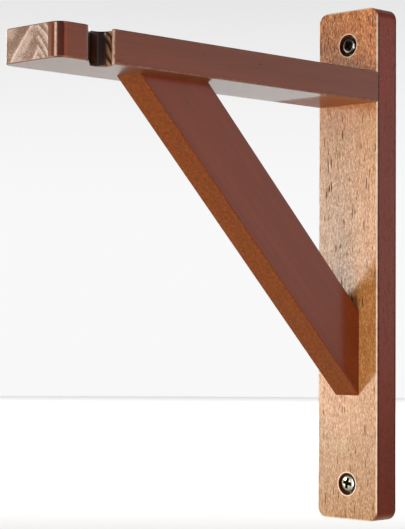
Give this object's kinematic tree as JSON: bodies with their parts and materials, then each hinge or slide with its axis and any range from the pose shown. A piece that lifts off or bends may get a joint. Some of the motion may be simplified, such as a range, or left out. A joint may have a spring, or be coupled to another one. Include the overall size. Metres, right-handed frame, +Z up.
{
  "type": "angle bracket",
  "caption": "Wooden angle bracket: a wall plate and a braced arm that carries a shelf, with a slanting side notch near the arm's tip.",
  "frame": {"origin": "on the wall face of the plate, at its centre", "axes": "+Y into the wall, +Z up along the plate, +X to the right of someone facing the wall; the arm reaches out along -Y"},
  "size_m": [0.045, 0.262, 0.3],
  "materials": {
    "plate_wood": "reddish brown stain under satin varnish",
    "arm_wood": "reddish brown stain under satin varnish",
    "brace_wood": "reddish brown stain under satin varnish",
    "upper_screw_steel": "plated, dull",
    "lower_screw_steel": "plated, bright"
  },
  "bodies": {
    "root": {"back_plate": "plate_wood", "arm": "arm_wood", "brace": "brace_wood", "screw_upper": "upper_screw_steel", "screw_lower": "lower_screw_steel"}
  },
  "joints": []
}
